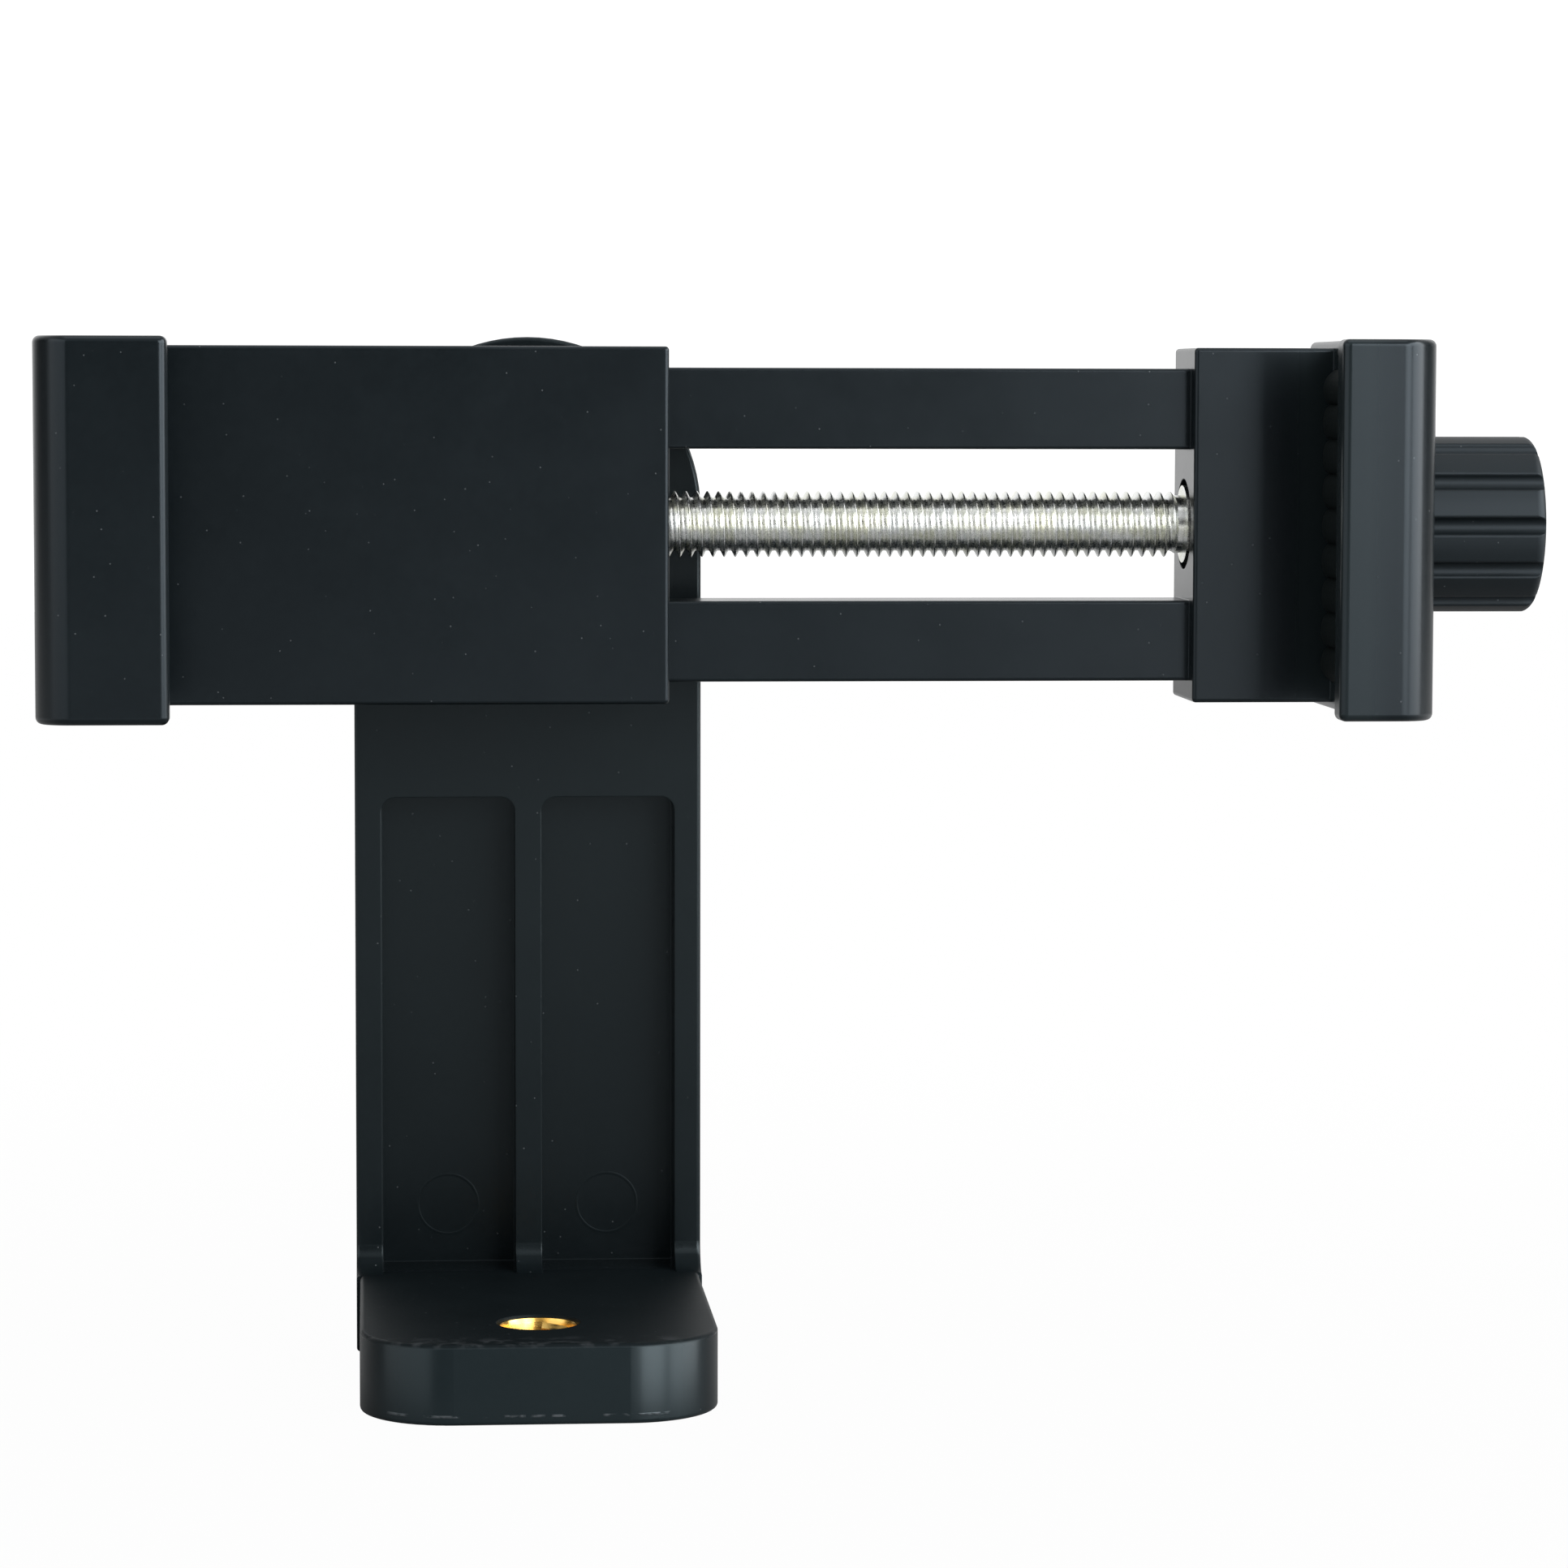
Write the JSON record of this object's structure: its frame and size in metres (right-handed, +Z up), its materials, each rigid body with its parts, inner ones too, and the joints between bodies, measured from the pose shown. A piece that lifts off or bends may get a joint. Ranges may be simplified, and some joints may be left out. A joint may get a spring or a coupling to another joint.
{
  "type": "tripod phone mount adapter",
  "caption": "L-shaped bracket with a tripod thread in its foot and a swivelling screw clamp that grips a phone between two ribbed jaws.",
  "frame": {"origin": "on the tripod thread's axis, in the plane of the foot's underside", "axes": "+X along the clamp towards its knob, +Y from the phone towards the swivel knob, +Z up along the bracket's leg"},
  "size_m": [0.134, 0.0586, 0.0931],
  "materials": {
    "black_plastic": "satin moulded plastic",
    "black_rubber": "matt",
    "zinc_steel": "bright zinc plate",
    "black_steel": "blackened steel",
    "brass": "turned brass"
  },
  "bodies": {
    "bracket": {"bracket": "black_plastic", "tripod_insert": "brass", "friction_ring": "black_rubber", "flat_washer": "zinc_steel", "spring_washer": "zinc_steel"},
    "clamp": {"clamp_body": "black_plastic", "rear_cover": "black_plastic", "cover_screws": "black_steel", "fixed_pad": "black_rubber", "screw_nut": "zinc_steel", "swivel_bolt": "zinc_steel"},
    "moving_jaw": {"moving_jaw": "black_plastic", "moving_pad": "black_rubber", "thrust_washer": "zinc_steel"},
    "lead_screw": {"lead_screw": "zinc_steel", "retaining_ring": "zinc_steel", "clamp_knob": "black_plastic"},
    "swivel_knob": {"swivel_knob": "black_plastic", "swivel_nut": "brass"}
  },
  "joints": [
    {"name": "clamp_swivel", "type": "hinge", "parent": "bracket", "child": "clamp", "pos_m": [0, 0.0268, 0.07715], "axis": [0, -1, 0], "range_deg": [-45, 225]},
    {"name": "jaw_slide", "type": "slide", "parent": "clamp", "child": "moving_jaw", "axis": [1, 0, 0], "range_m": [-0.0466, 0]},
    {"name": "screw_spin", "type": "hinge", "parent": "moving_jaw", "child": "lead_screw", "pos_m": [0.0787, 0.0182, 0.0762], "axis": [1, 0, 0], "range_deg": [-16780, 0]},
    {"name": "knob_turn", "type": "hinge", "parent": "clamp", "child": "swivel_knob", "pos_m": [0, 0.0392, 0.07715], "axis": [0, 1, 0], "range_deg": [0, 360]}
  ],
  "couplings": [
    {"joint": "screw_spin", "follows": "jaw_slide", "rad_per_m": 6283.2}
  ]
}
